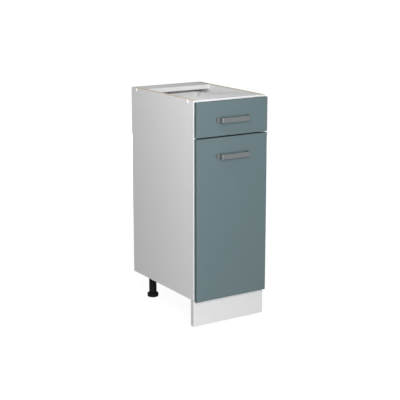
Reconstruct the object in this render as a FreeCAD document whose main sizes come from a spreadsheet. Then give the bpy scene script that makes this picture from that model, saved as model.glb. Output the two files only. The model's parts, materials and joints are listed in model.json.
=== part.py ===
import FreeCAD, Part
import os
import re
import Sketcher
from FreeCAD import Placement, Rotation, Vector

# Kitchen base cabinet with one drawer above one door, on adjustable legs.
# Millimetres. X runs to the right, Y to the back and Z up. The origin is on the floor under the middle.

# Driving sizes
SIZES = {
    # Carcass boards
    "cabinet_width": 300,
    "carcass_height": 715,
    "leg_height": 98,
    "board": 16,
    "back_thickness": 3,
    "back_inset": 1,
    "rail_depth": 90,
    "front_rail_screw_inset": 40,
    "rear_rail_screw_inset": 34,
    "worktop_hole_radius": 2.5,
    "worktop_hole_offset": 90,
    "shelf_rise": 276,
    "shelf_setback": 22,
    "shelf_play": 1,
    "pin_hole_pitch": 32,
    "pin_hole_inset": 60,
    "shelf_pin_radius": 2.5,
    "shelf_pin_length": 16,
    "shelf_pin_seat": 8,
    "fit_clearance": 0.05,
    "tool_overrun": 1,
    # Drawer front and door
    "front_thickness": 16,
    "front_gap": 2.5,
    "side_reveal": 1.5,
    "top_reveal": 6,
    "drawer_front_height": 122.5,
    "row_gap": 4.5,
    "door_overhang": 2.5,
    "front_round": 2,
    "back_round": 1,
    "bumper_radius": 4,
    "bumper_thickness": 2.2,
    "bumper_inset": 30,
    # Handles
    "handle_centres": 128,
    "handle_reach": 25,
    "handle_foot": 11,
    "handle_strap": 4,
    "handle_height": 17,
    "handle_bend": 4,
    "handle_inner_bend": 1.5,
    "handle_edge": 0.5,
    "drawer_handle_drop": 65,
    "door_handle_drop": 65,
    # Drawer box
    "drawer_length": 400,
    "drawer_rear_space": 34.5,
    "drawer_side": 12,
    "drawer_side_height": 83,
    "drawer_lift": 15.5,
    "drawer_panel": 3,
    "groove_depth": 6,
    "groove_rise": 10,
    # Roller runners
    "runner_space": 12.5,
    "runner_steel": 1.2,
    "runner_setback": 2,
    "runner_ledge": 10,
    "runner_screw_inset": 48,
    "runner_side_gap": 1,
    "track_drop": 4,
    "ceiling_gap": 1.5,
    "running_gap": 0.3,
    "roller_radius": 8,
    "roller_width": 7,
    "roller_play": 0.1,
    "roller_bevel": 0.9,
    "front_roller_lift": 1.8,
    "front_roller_inset": 15,
    "rear_roller_inset": 15,
    "axle_radius": 2,
    "axle_head": 3.2,
    "axle_head_thickness": 0.5,
    # Hinges
    "hinge_inset": 95,
    "hinge_cup_radius": 17.5,
    "hinge_cup_inset": 3,
    "hinge_cup_depth": 13.4,
    "hinge_cup_wall": 0.7,
    "hinge_flange": 1.2,
    "hinge_flange_half": 29,
    "hinge_flange_back": 14,
    "hinge_flange_edge": 16.5,
    "hinge_pin_radius": 1.25,
    "hinge_pin_half": 7.8,
    "hinge_pin_inset": 7,
    "hinge_pin_depth": 10,
    "hinge_lug_half": 2.9,
    "hinge_lug_start": 5.3,
    "hinge_knuckle": 2.2,
    "hinge_neck_half": 5,
    "hinge_strap": 2.5,
    "hinge_neck_reach": 19,
    "hinge_arm_half": 8,
    "hinge_arm_taper": 2,
    "hinge_arm_height": 8,
    "hinge_arm_setback": 8,
    "hinge_arm_length": 54,
    "hinge_plate_height": 8,
    "hinge_plate_setback": 20,
    "hinge_plate_length": 35,
    "hinge_wing": 3,
    "hinge_wing_half": 22,
    "hinge_screw_half": 16,
    "hinge_screw_setback": 37,
    "hinge_arm_screw_setback": 48,
    "hinge_cup_screw_half": 24,
    "hinge_cup_screw_offset": 6,
    # Legs and plinth
    "leg_inset_side": 54,
    "leg_inset_front": 50,
    "leg_inset_rear": 48,
    "leg_tube_radius": 14.5,
    "foot_radius": 21,
    "foot_rim": 13.5,
    "foot_height": 16.5,
    "foot_neck": 15.5,
    "foot_bevel": 1,
    "stem_radius": 9,
    "stem_length": 45,
    "socket_flange": 4,
    "socket_radius": 28,
    "socket_collar": 18,
    "socket_depth": 18,
    "socket_screw_half": 16,
    "plinth_thickness": 19,
    "plinth_gap": 1,
    "plinth_round": 1,
    "plinth_back_round": 1,
    "clip_height": 24,
    "clip_rise": 34,
    "clip_plate": 3,
    "clip_plate_half": 22,
    "clip_neck_half": 5,
    "clip_ring": 3,
    "clip_mouth": 6,
    "clip_screw_offset": 15,
    # Cam fittings and dowels
    "cam_radius": 7.5,
    "cam_depth": 12,
    "drawer_cam_depth": 10,
    "cam_reach": 24,
    "cam_inset": 110,
    "cam_slot": 8,
    "bolt_radius": 3,
    "bolt_thread_radius": 2.5,
    "bolt_thread_length": 10,
    "bolt_neck_radius": 2,
    "bolt_neck_length": 4,
    "bolt_head_length": 3,
    "drawer_bolt_low": 22,
    "drawer_bolt_high": 62,
    "dowel_radius": 4,
    "dowel_length": 30,
    "dowel_seat": 11,
    "dowel_inset": 40,
    "rail_dowel_offset": 22,
    # Screw caps
    "cap_radius": 6,
    "cap_height": 2.5,
    "cap_stem_radius": 1.9,
    "cap_stem_length": 2,
    "rail_socket_radius": 2,
    "rail_socket_depth": 2.5,
    # Screws and nails: head and shank radii, head height and length
    "rail_screw_head": 4.75,
    "rail_screw_head_height": 3.5,
    "rail_screw_shank": 2.5,
    "rail_screw_length": 50,
    "runner_screw_head": 3,
    "runner_screw_head_height": 1.2,
    "runner_screw_shank": 1.6,
    "runner_screw_length": 11,
    "plate_screw_head": 4.5,
    "plate_screw_head_height": 2,
    "plate_screw_shank": 2.5,
    "plate_screw_length": 14,
    "arm_screw_head": 4,
    "arm_screw_head_height": 1.5,
    "arm_screw_shank": 2.5,
    "arm_screw_length": 14,
    "cup_screw_head": 3,
    "cup_screw_head_height": 1.2,
    "cup_screw_shank": 1.6,
    "cup_screw_length": 12,
    "socket_screw_head": 3.5,
    "socket_screw_head_height": 2,
    "socket_screw_shank": 1.75,
    "socket_screw_length": 16,
    "clip_screw_head": 3.5,
    "clip_screw_head_height": 2,
    "clip_screw_shank": 1.75,
    "clip_screw_length": 14,
    "handle_screw_head": 4,
    "handle_screw_head_height": 2.2,
    "handle_screw_shank": 2,
    "handle_screw_bite": 2.8,
    "back_screw_head": 3.5,
    "back_screw_head_height": 2,
    "back_screw_shank": 1.75,
    "back_screw_length": 38,
    "back_screw_low": 30,
    "back_screw_high": 66,
    "nail_head": 1.8,
    "nail_head_height": 0.8,
    "nail_shank": 0.7,
    "nail_length": 20,
    "nail_end_inset": 30,
}

# Places that follow from the driving sizes
PLACES = {
    "carcass_depth": "drawer_length + drawer_rear_space - front_gap",
    "runner_length": "drawer_length - runner_setback",
    "half_width": "cabinet_width / 2",
    "inner_half": "half_width - board",
    "front_edge": "(front_gap + front_thickness + handle_reach - carcass_depth - back_thickness) / 2",
    "rear_edge": "front_edge + carcass_depth",
    "back_face": "rear_edge + back_thickness",
    "carcass_top": "leg_height + carcass_height",
    "rail_low": "carcass_top - board",
    "rail_middle": "carcass_top - board / 2",
    "front_rail_middle": "front_edge + rail_depth / 2",
    "rear_rail_middle": "rear_edge - rail_depth / 2",
    "front_rail_screw_y": "front_edge + front_rail_screw_inset",
    "rear_rail_screw_y": "rear_edge - rear_rail_screw_inset",
    "base_top": "leg_height + board",
    "base_middle": "leg_height + board / 2",
    "shelf_low": "base_top + shelf_rise",
    "shelf_pin_z": "shelf_low - shelf_pin_radius",
    "fronts_back": "front_edge - front_gap",
    "fronts_face": "fronts_back - front_thickness",
    "front_half": "half_width - side_reveal",
    "drawer_front_top": "carcass_top - top_reveal",
    "drawer_front_low": "drawer_front_top - drawer_front_height",
    "door_top": "drawer_front_low - row_gap",
    "door_low": "leg_height - door_overhang",
    "drawer_handle_z": "drawer_front_top - drawer_handle_drop",
    "door_handle_z": "door_top - door_handle_drop",
    "handle_bar_half": "handle_centres / 2 - handle_foot / 2",
    "handle_half": "handle_centres / 2 + handle_foot / 2",
    "drawer_outer": "inner_half - runner_space",
    "drawer_inner": "drawer_outer - drawer_side",
    "drawer_side_middle": "drawer_outer - drawer_side / 2",
    "drawer_base": "drawer_front_low + drawer_lift",
    "drawer_top": "drawer_base + drawer_side_height",
    "drawer_rear": "fronts_back + drawer_length",
    "drawer_panel_low": "drawer_base + groove_rise",
    "drawer_panel_top": "drawer_panel_low + drawer_panel",
    "cabinet_web": "inner_half - runner_steel",
    "drawer_web": "drawer_outer + runner_steel",
    "runner_front": "front_edge + runner_setback",
    "track_low": "drawer_base - track_drop",
    "track_top": "track_low + runner_steel",
    "front_roller_z": "track_top + front_roller_lift + roller_radius",
    "rear_roller_z": "track_top + running_gap + roller_radius",
    "flange_low": "front_roller_z + roller_radius + running_gap",
    "flange_top": "flange_low + runner_steel",
    "ceiling_low": "flange_top + ceiling_gap",
    "ceiling_top": "ceiling_low + runner_steel",
    "front_roller_y": "front_edge + front_roller_inset",
    "rear_roller_y": "drawer_rear - rear_roller_inset",
    "roller_middle": "(cabinet_web + drawer_web) / 2",
    "axle_collar": "(cabinet_web - drawer_web - roller_width) / 2 - roller_play",
    "cup_x": "front_half - hinge_cup_inset - hinge_cup_radius",
    "cup_floor": "fronts_back - hinge_cup_depth",
    "hinge_pin_x": "front_half - hinge_pin_inset",
    "hinge_pin_y": "fronts_back - hinge_pin_depth",
    "hinge_neck_x": "hinge_pin_x - hinge_neck_reach",
    "hinge_plate_face": "inner_half - hinge_plate_height",
    "hinge_arm_face": "hinge_plate_face - hinge_arm_height",
    "hinge_arm_front": "front_edge + hinge_arm_setback",
    "hinge_plate_front": "front_edge + hinge_plate_setback",
    "upper_hinge_z": "door_top - hinge_inset",
    "lower_hinge_z": "door_low + hinge_inset",
    "leg_x": "half_width - leg_inset_side",
    "front_leg_y": "front_edge + leg_inset_front",
    "rear_leg_y": "rear_edge - leg_inset_rear",
    "socket_low": "leg_height - socket_flange",
    "plinth_top": "leg_height - plinth_gap",
    "plinth_back": "front_edge + plinth_thickness",
    "clip_low": "plinth_gap + clip_rise",
    "bolt_reach": "cam_reach + bolt_head_length / 2",
    "shelf_front": "front_edge + shelf_setback",
}

LEGS = {
    "front_left": ("-1 * leg_x", "front_leg_y"),
    "front_right": ("leg_x", "front_leg_y"),
    "rear_left": ("-1 * leg_x", "rear_leg_y"),
    "rear_right": ("leg_x", "rear_leg_y"),
}
SIDES = {"left": -1, "right": 1}
NAILS_PER_SIDE = 5
PIN_HOLE_STEPS = range(-3, 4)

# How much of a domed head is flat on top, and how much of its height is rim
DOME_SHARE = 0.6
RIM_SHARE = 0.4

HINGES = ("upper", "lower")
ALONG_X = (1, 0, 0)
ALONG_Y = (0, 1, 0)
UP = (0, 0, 1)
DOWN = (0, 0, -1)
FORWARD = (0, -1, 0)

doc = FreeCAD.newDocument("base_cabinet")
subparts = []


# Sheets and expressions

def expand(text, own=""):
    """Point each name in an expression at the sheet that holds it."""
    def qualify(match):
        word = match.group(0)
        if word in SIZES:
            return "sizes." + word
        if word in PLACES and own != "places":
            return "places." + word
        return word
    return re.sub(r"[a-z_]+", qualify, str(text))


def make_sheets():
    sizes = doc.addObject("Spreadsheet::Sheet", "sizes")
    for row, (name, number) in enumerate(SIZES.items(), start=1):
        sizes.set(f"A{row}", name)
        sizes.set(f"B{row}", str(number))
        sizes.setAlias(f"B{row}", name)
    doc.recompute()
    places = doc.addObject("Spreadsheet::Sheet", "places")
    for row, (name, text) in enumerate(PLACES.items(), start=1):
        places.set(f"A{row}", name)
        places.setAlias(f"B{row}", name)
        places.set(f"B{row}", "=" + expand(text, own="places"))
    doc.recompute()
    return sizes


def value(text):
    return float(sheet.evalExpression(expand(text)))


def bind(thing, setting, text):
    thing.setExpression(setting, expand(text))


def place(thing, start):
    for axis, text in zip("xyz", start):
        bind(thing, "Placement.Base." + axis, text)


def aim(thing, direction):
    """Turn a piece made along Z so that it runs along the direction."""
    thing.Placement = Placement(Vector(), Rotation(Vector(*UP), Vector(*direction)))


# Solids

def box(name, across, along, up):
    """A block between two places on X, on Y and on Z."""
    block = doc.addObject("Part::Box", name)
    for setting, axis, (low, high) in zip(("Length", "Width", "Height"), "xyz", (across, along, up)):
        bind(block, setting, f"({high}) - ({low})")
        bind(block, "Placement.Base." + axis, low)
    return block


def rod(name, radius, start, direction, length):
    post = doc.addObject("Part::Cylinder", name)
    aim(post, direction)
    bind(post, "Radius", radius)
    bind(post, "Height", length)
    place(post, start)
    return post


def group(name, pieces):
    bundle = doc.addObject("Part::Compound", name)
    bundle.Links = pieces
    return bundle


def fuse(name, pieces):
    union = doc.addObject("Part::MultiFuse", name)
    union.Shapes = pieces
    return union


def cut(name, base, tools):
    rest = doc.addObject("Part::Cut", name)
    rest.Base = base
    rest.Tool = tools[0] if len(tools) == 1 else group(name + "_tools", tools)
    return rest


def common(name, first, second):
    overlap = doc.addObject("Part::Common", name)
    overlap.Base = first
    overlap.Tool = second
    return overlap


def mirror(name, source):
    """The same piece on the other side of the cabinet."""
    twin = doc.addObject("Part::Mirroring", name)
    twin.Source = source
    twin.Base = Vector(0, 0, 0)
    twin.Normal = Vector(*ALONG_X)
    return twin


def outline(body, name, plane, points):
    """A closed sketch of straight lines through points that the sheets place."""
    sketch = body.newObject("Sketcher::SketchObject", name)
    planes = {feature.Role: feature for feature in body.Origin.OriginFeatures}
    sketch.AttachmentSupport = [(planes[plane], "")]
    sketch.MapMode = "FlatFace"
    corners = [Vector(value(first), value(second), 0) for first, second in points]
    count = len(corners)
    for index, corner in enumerate(corners):
        sketch.addGeometry(Part.LineSegment(corner, corners[(index + 1) % count]))
    for index, point in enumerate(points):
        sketch.addConstraint(Sketcher.Constraint("Coincident", index, 2, (index + 1) % count, 1))
        for kind, text in zip(("DistanceX", "DistanceY"), point):
            number = sketch.addConstraint(Sketcher.Constraint(kind, -1, 1, index, 1, value(text)))
            bind(sketch, f"Constraints[{number}]", text)
    return sketch


def turned(name, profile, start, direction):
    """A body of revolution: the profile gives radius and distance along the direction."""
    body = doc.addObject("PartDesign::Body", name)
    spin = body.newObject("PartDesign::Revolution", name + "_turn")
    spin.Profile = outline(body, name + "_profile", "XZ_Plane", profile)
    spin.ReferenceAxis = (spin.Profile[0], ["V_Axis"])
    spin.Angle = 360
    body.Tip = spin
    aim(body, direction)
    place(body, start)
    return body


def extruded(name, plane, points, length, start, reversed_pad=False):
    """A body padded from an outline, along the plane's normal."""
    body = doc.addObject("PartDesign::Body", name)
    pad = body.newObject("PartDesign::Pad", name + "_pad")
    pad.Profile = outline(body, name + "_outline", plane, points)
    pad.Reversed = reversed_pad
    bind(pad, "Length", length)
    body.Tip = pad
    place(body, start)
    return body


def round_edges(body, name, radius, wanted):
    """Round the edges of the body's last feature whose middle the test picks out."""
    doc.recompute()
    base = body.Tip
    names = []
    for number, edge in enumerate(base.Shape.Edges, start=1):
        middle = edge.valueAt((edge.FirstParameter + edge.LastParameter) / 2)
        if wanted(middle, edge):
            names.append(f"Edge{number}")
    rounding = body.newObject("PartDesign::Fillet", name)
    rounding.Base = (base, names)
    bind(rounding, "Radius", radius)
    body.Tip = rounding


def close(first, second):
    return abs(first - second) < 1e-4


def label(piece):
    """Count a finished piece as one of the cabinet's sub-parts."""
    piece.Label = piece.Name
    subparts.append(piece)
    return piece


# Screws, nails and the holes they sit in

def flat_screw(name, kind, start, direction):
    """A countersunk screw whose head is flush at the start."""
    profile = [
        ("0", "0"),
        (f"{kind}_head", "0"),
        (f"{kind}_shank", f"{kind}_head_height"),
        (f"{kind}_shank", f"{kind}_length - {kind}_shank"),
        ("0", f"{kind}_length"),
    ]
    return turned(name, profile, start, direction)


def flat_hole(name, kind, start, direction):
    profile = [
        ("0", "-1 * tool_overrun"),
        (f"{kind}_head + fit_clearance", "-1 * tool_overrun"),
        (f"{kind}_head + fit_clearance", "0"),
        (f"{kind}_shank + fit_clearance", f"{kind}_head_height"),
        (f"{kind}_shank + fit_clearance", f"{kind}_length + fit_clearance"),
        ("0", f"{kind}_length + fit_clearance"),
    ]
    return turned(name, profile, start, direction)


def pan_screw(name, kind, start, direction, length):
    """A screw whose domed head stands on the surface at the start."""
    profile = [
        ("0", f"-1 * {kind}_head_height"),
        (f"{kind}_head * {DOME_SHARE}", f"-1 * {kind}_head_height"),
        (f"{kind}_head", f"-{RIM_SHARE} * {kind}_head_height"),
        (f"{kind}_head", "0"),
        (f"{kind}_shank", "0"),
        (f"{kind}_shank", length),
        ("0", length),
    ]
    return turned(name, profile, start, direction)


def pan_hole(name, kind, start, direction, length):
    return rod(name, f"{kind}_shank + fit_clearance", start, direction, f"{length} + fit_clearance")


def flat_screws(name, kind, seats):
    """The screws of one kind, as one sub-part, and the holes that they need."""
    screws = []
    holes = []
    for number, (start, direction) in enumerate(seats, start=1):
        screws.append(flat_screw(f"{name}_{number}", kind, start, direction))
        holes.append(flat_hole(f"{name}_hole_{number}", kind, start, direction))
    label(group(name, screws))
    return holes


def pan_screws(name, kind, seats, length):
    screws = []
    holes = []
    for number, (start, direction) in enumerate(seats, start=1):
        screws.append(pan_screw(f"{name}_{number}", kind, start, direction, length))
        holes.append(pan_hole(f"{name}_hole_{number}", kind, start, direction, length))
    label(group(name, screws))
    return holes


# Cam fittings: a bolt screwed into one board, drawn tight by a cam in the next one

BOLT_PROFILE = [
    ("0", "-1 * bolt_thread_length"),
    ("bolt_thread_radius", "-1 * bolt_thread_length"),
    ("bolt_thread_radius", "0"),
    ("bolt_radius", "0"),
    ("bolt_radius", "cam_reach - bolt_head_length / 2 - bolt_neck_length"),
    ("bolt_neck_radius", "cam_reach - bolt_head_length / 2 - bolt_neck_length"),
    ("bolt_neck_radius", "cam_reach - bolt_head_length / 2"),
    ("bolt_radius", "cam_reach - bolt_head_length / 2"),
    ("bolt_radius", "bolt_reach"),
    ("0", "bolt_reach"),
]


def cam_bolts(name, seats):
    """The bolts of a row of cam fittings, and the holes in the two boards that they join."""
    bolts = []
    thread_holes = []
    shaft_holes = []
    for number, (start, direction) in enumerate(seats, start=1):
        back = tuple(-part for part in direction)
        bolts.append(turned(f"{name}_{number}", BOLT_PROFILE, start, direction))
        thread_holes.append(rod(f"{name}_thread_hole_{number}", "bolt_thread_radius + fit_clearance", start,
                                back, "bolt_thread_length + fit_clearance"))
        shaft_holes.append(rod(f"{name}_shaft_hole_{number}", "bolt_radius + fit_clearance", start, direction,
                               "bolt_reach + fit_clearance"))
    label(group(name, bolts))
    return thread_holes, shaft_holes


def cam_locks(name, seats, depth, slot_blocks):
    """The cams: discs that open at a board's face and hook round the bolt heads through a slot."""
    cams = []
    bores = []
    for number, ((start, direction), slot) in enumerate(zip(seats, slot_blocks), start=1):
        disc = rod(f"{name}_disc_{number}", "cam_radius", start, direction, depth)
        cams.append(cut(f"{name}_{number}", disc, [slot]))
        bores.append(rod(f"{name}_bore_{number}", "cam_radius + fit_clearance", start, direction,
                         f"{depth} + fit_clearance"))
    label(group(name, cams))
    return bores


# Carcass

def rail_fixings():
    """Screws through the side panels into the rail ends, their caps, and a dowel beside each."""
    screws = []
    caps = []
    holes = []
    screw_profile = [
        ("0", "rail_socket_depth"),
        ("rail_socket_radius", "rail_socket_depth"),
        ("rail_socket_radius", "0"),
        ("rail_screw_head", "0"),
        ("rail_screw_shank", "rail_screw_head_height"),
        ("rail_screw_shank", "rail_screw_length"),
        ("0", "rail_screw_length"),
    ]
    cap_profile = [
        ("0", "cap_stem_length"),
        ("cap_stem_radius", "cap_stem_length"),
        ("cap_stem_radius", "0"),
        ("cap_radius", "0"),
        ("cap_radius", f"-{RIM_SHARE} * cap_height"),
        ("cap_radius - cap_height / 2", "-1 * cap_height"),
        ("0", "-1 * cap_height"),
    ]
    for side, sign in SIDES.items():
        inward = (-sign, 0, 0)
        for row in ("front", "rear"):
            start = (f"{sign} * half_width", f"{row}_rail_screw_y", "rail_middle")
            screws.append(turned(f"rail_screw_{row}_{side}", screw_profile, start, inward))
            caps.append(turned(f"screw_cap_{row}_{side}", cap_profile, start, inward))
            holes.append(flat_hole(f"rail_screw_hole_{row}_{side}", "rail_screw", start, inward))
    label(group("rail_screws", screws))
    label(group("screw_caps", caps))
    return holes


def dowels():
    """Dowels between the side panels and the bottom panel and rails."""
    rows = [
        ("front_edge + dowel_inset", "base_middle"),
        ("rear_edge - dowel_inset", "base_middle"),
        ("front_rail_middle + rail_dowel_offset", "rail_middle"),
        ("rear_rail_middle - rail_dowel_offset", "rail_middle"),
    ]
    pins = []
    holes = []
    for side, sign in SIDES.items():
        for number, (along, up) in enumerate(rows, start=1):
            inward = (-sign, 0, 0)
            start = (f"{sign} * (inner_half + dowel_seat)", along, up)
            pins.append(rod(f"dowel_{side}_{number}", "dowel_radius", start, inward, "dowel_length"))
            holes.append(rod(f"dowel_hole_{side}_{number}", "dowel_radius + fit_clearance", start, inward,
                             "dowel_length + fit_clearance"))
    label(group("wooden_dowels", pins))
    return holes


def base_cams():
    """Cam fittings that hold the bottom panel, with the cams in its underside."""
    bolt_seats = []
    cam_seats = []
    slots = []
    for side, sign in SIDES.items():
        for row, along in (("front", "front_edge + cam_inset"), ("rear", "rear_edge - cam_inset")):
            bolt_seats.append(((f"{sign} * inner_half", along, "base_middle"), (-sign, 0, 0)))
            cam_x = f"{sign} * (inner_half - cam_reach)"
            cam_seats.append(((cam_x, along, "leg_height"), UP))
            ends = sorted((f"{cam_x} - {sign} * cam_slot / 2", f"{cam_x} + {sign} * 2 * cam_radius"), key=value)
            slots.append(box(
                f"cam_slot_{row}_{side}", ends,
                (f"{along} - bolt_radius - fit_clearance", f"{along} + bolt_radius + fit_clearance"),
                ("base_middle - bolt_radius - fit_clearance", "base_middle + cam_depth")))
    thread_holes, shaft_holes = cam_bolts("cam_bolts", bolt_seats)
    bores = cam_locks("cam_locks", cam_seats, "cam_depth", slots)
    return thread_holes, shaft_holes, bores


def shelf_pin_places():
    return [(along, sign) for sign in SIDES.values()
            for along in ("shelf_front + pin_hole_inset", "rear_edge - pin_hole_inset")]


def shelf_pins():
    pins = []
    for number, (along, sign) in enumerate(shelf_pin_places(), start=1):
        start = (f"{sign} * (inner_half + shelf_pin_seat)", along, "shelf_pin_z")
        pins.append(rod(f"shelf_pin_{number}", "shelf_pin_radius", start, (-sign, 0, 0), "shelf_pin_length"))
    label(group("shelf_pins", pins))


def shelf_pin_holes(side):
    """Columns of holes that let the shelf sit at several heights."""
    holes = []
    for number, (along, sign) in enumerate(shelf_pin_places(), start=1):
        if sign != SIDES[side]:
            continue
        for count, step in enumerate(PIN_HOLE_STEPS):
            start = (f"{sign} * inner_half", along, f"shelf_pin_z + {step} * pin_hole_pitch")
            holes.append(rod(f"shelf_pin_hole_{side}_{number}_{count}", "shelf_pin_radius + fit_clearance",
                             start, (sign, 0, 0), "shelf_pin_seat + fit_clearance"))
    return holes


def side_panels(shared_holes, hinge_holes, runner_holes):
    for side, sign in SIDES.items():
        ends = sorted((f"{sign} * half_width", f"{sign} * inner_half"), key=value)
        board = box(f"{side}_side_board", ends, ("front_edge", "rear_edge"), ("leg_height", "carcass_top"))
        holes = shared_holes + runner_holes + shelf_pin_holes(side)
        if side == "right":
            holes = holes + hinge_holes
        label(cut(f"{side}_side_panel", board, holes))


def bottom_panel(holes):
    board = box("bottom_board", ("-1 * inner_half", "inner_half"), ("front_edge", "rear_edge"),
                ("leg_height", "base_top"))
    label(cut("bottom_panel", board, holes))


def top_rails(holes):
    spans = {
        "front": ("front_edge", "front_edge + rail_depth"),
        "rear": ("rear_edge - rail_depth", "rear_edge"),
    }
    for row, span in spans.items():
        board = box(f"{row}_rail_board", ("-1 * inner_half", "inner_half"), span, ("rail_low", "carcass_top"))
        worktop_holes = [
            rod(f"{row}_worktop_hole_{side}", "worktop_hole_radius",
                (f"{sign} * worktop_hole_offset", f"{row}_rail_middle", "rail_low"), UP, "board")
            for side, sign in SIDES.items()
        ]
        label(cut(f"{row}_top_rail", board, holes + worktop_holes))


def nail_seats():
    """Nails round the back panel: into the side panels, the bottom panel and the rear rail."""
    seats = []
    for sign in SIDES.values():
        for step in range(NAILS_PER_SIDE):
            up = (f"leg_height + board + nail_end_inset + "
                  f"(carcass_height - 2 * board - 2 * nail_end_inset) * {step} / {NAILS_PER_SIDE - 1}")
            seats.append(((f"{sign} * (half_width - board / 2)", "back_face", up), FORWARD))
        for up in ("base_middle", "rail_middle"):
            seats.append(((f"{sign} * inner_half / 2", "back_face", up), FORWARD))
    return seats


def back_panel():
    holes = flat_screws("back_panel_nails", "nail", nail_seats())
    board = box("back_board", ("back_inset - half_width", "half_width - back_inset"),
                ("rear_edge", "back_face"), ("leg_height + back_inset", "carcass_top - back_inset"))
    label(cut("back_panel", board, holes))
    return holes


def shelf():
    board = box("shelf", ("shelf_play - inner_half", "inner_half - shelf_play"),
                ("shelf_front", "rear_edge - shelf_play"), ("shelf_low", "shelf_low + board"))
    label(board)


# Roller runners, made for the right side and mirrored to the left

def cabinet_runners():
    """Steel channels on the side panels: a lower track, a web and an upper flange."""
    rows = [
        "runner_front + runner_screw_inset",
        "runner_front + runner_length / 2",
        "runner_front + runner_length - runner_screw_inset",
    ]
    right_seats = [(("cabinet_web", along, "front_roller_z"), (1, 0, 0)) for along in rows]
    left_seats = [(("-1 * cabinet_web", along, "front_roller_z"), (-1, 0, 0)) for along in rows]
    holes = flat_screws("cabinet_runner_screws", "runner_screw", right_seats + left_seats)
    inner = "drawer_web + runner_side_gap"
    profile = [
        (inner, "track_low"),
        ("inner_half", "track_low"),
        ("inner_half", "ceiling_top"),
        (inner, "ceiling_top"),
        (inner, "ceiling_low"),
        ("cabinet_web", "ceiling_low"),
        ("cabinet_web", "track_top"),
        (inner, "track_top"),
    ]
    channel = extruded("cabinet_runner_channel", "XZ_Plane", profile, "runner_length",
                       ("0", "runner_front", "0"), reversed_pad=True)
    right = cut("right_cabinet_runner", channel, holes[:len(rows)])
    label(mirror("left_cabinet_runner", right))
    label(right)
    return holes


def drawer_runners():
    """Steel angles under the drawer sides with a flange that runs on the front rollers."""
    rows = [
        "fronts_back + runner_screw_inset",
        "fronts_back + drawer_length / 2",
        "drawer_rear - runner_screw_inset",
    ]
    right_seats = [(("drawer_web", along, "front_roller_z"), (-1, 0, 0)) for along in rows]
    left_seats = [(("-1 * drawer_web", along, "front_roller_z"), (1, 0, 0)) for along in rows]
    holes = flat_screws("drawer_runner_screws", "runner_screw", right_seats + left_seats)
    profile = [
        ("drawer_outer - runner_ledge", "drawer_base - runner_steel"),
        ("drawer_web", "drawer_base - runner_steel"),
        ("drawer_web", "flange_low"),
        ("cabinet_web - runner_side_gap", "flange_low"),
        ("cabinet_web - runner_side_gap", "flange_top"),
        ("drawer_outer", "flange_top"),
        ("drawer_outer", "drawer_base"),
        ("drawer_outer - runner_ledge", "drawer_base"),
    ]
    angle = extruded("drawer_runner_angle", "XZ_Plane", profile, "drawer_length",
                     ("0", "fronts_back", "0"), reversed_pad=True)
    right = cut("right_drawer_runner", angle, holes[:len(rows)])
    label(mirror("left_drawer_runner", right))
    label(right)
    return holes


def rollers():
    """Plastic rollers on riveted axles: the front pair on the cabinet, the rear pair on the drawer."""
    axle_profile = [
        ("0", "0"),
        ("axle_head", "0"),
        ("axle_head", "axle_collar"),
        ("axle_radius", "axle_collar"),
        ("axle_radius", "axle_collar + roller_width + 2 * roller_play"),
        ("axle_head", "axle_collar + roller_width + 2 * roller_play"),
        ("axle_head", "axle_collar + roller_width + 2 * roller_play + axle_head_thickness"),
        ("0", "axle_collar + roller_width + 2 * roller_play + axle_head_thickness"),
    ]
    roller_profile = [
        ("axle_radius + fit_clearance", "0"),
        ("roller_radius - roller_bevel", "0"),
        ("roller_radius", "roller_bevel"),
        ("roller_radius", "roller_width - roller_bevel"),
        ("roller_radius - roller_bevel", "roller_width"),
        ("axle_radius + fit_clearance", "roller_width"),
    ]
    for row, web, inward in (("front", "cabinet_web", -1), ("rear", "drawer_web", 1)):
        axles = []
        wheels = []
        for side, sign in SIDES.items():
            axle_start = (f"{sign} * {web}", f"{row}_roller_y", f"{row}_roller_z")
            axles.append(turned(f"{row}_axle_{side}", axle_profile, axle_start, (sign * inward, 0, 0)))
            wheel_start = (f"{sign} * roller_middle - roller_width / 2", f"{row}_roller_y", f"{row}_roller_z")
            wheels.append(turned(f"{row}_roller_{side}", roller_profile, wheel_start, ALONG_X))
        label(group(f"{row}_roller_axles", axles))
        label(group(f"{row}_rollers", wheels))


# Fronts and handles

def front_board(name, low, high):
    """A front with softly rounded edges."""
    corners = [
        ("-1 * front_half", low),
        ("front_half", low),
        ("front_half", high),
        ("-1 * front_half", high),
    ]
    body = extruded(name, "XZ_Plane", corners, "front_thickness", ("0", "fronts_back", "0"))
    depth = value("front_thickness")
    round_edges(body, name + "_front_edges", "front_round", lambda middle, edge: close(middle.y, -depth))
    round_edges(body, name + "_back_edges", "back_round", lambda middle, edge: close(middle.y, 0))
    return body


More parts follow.
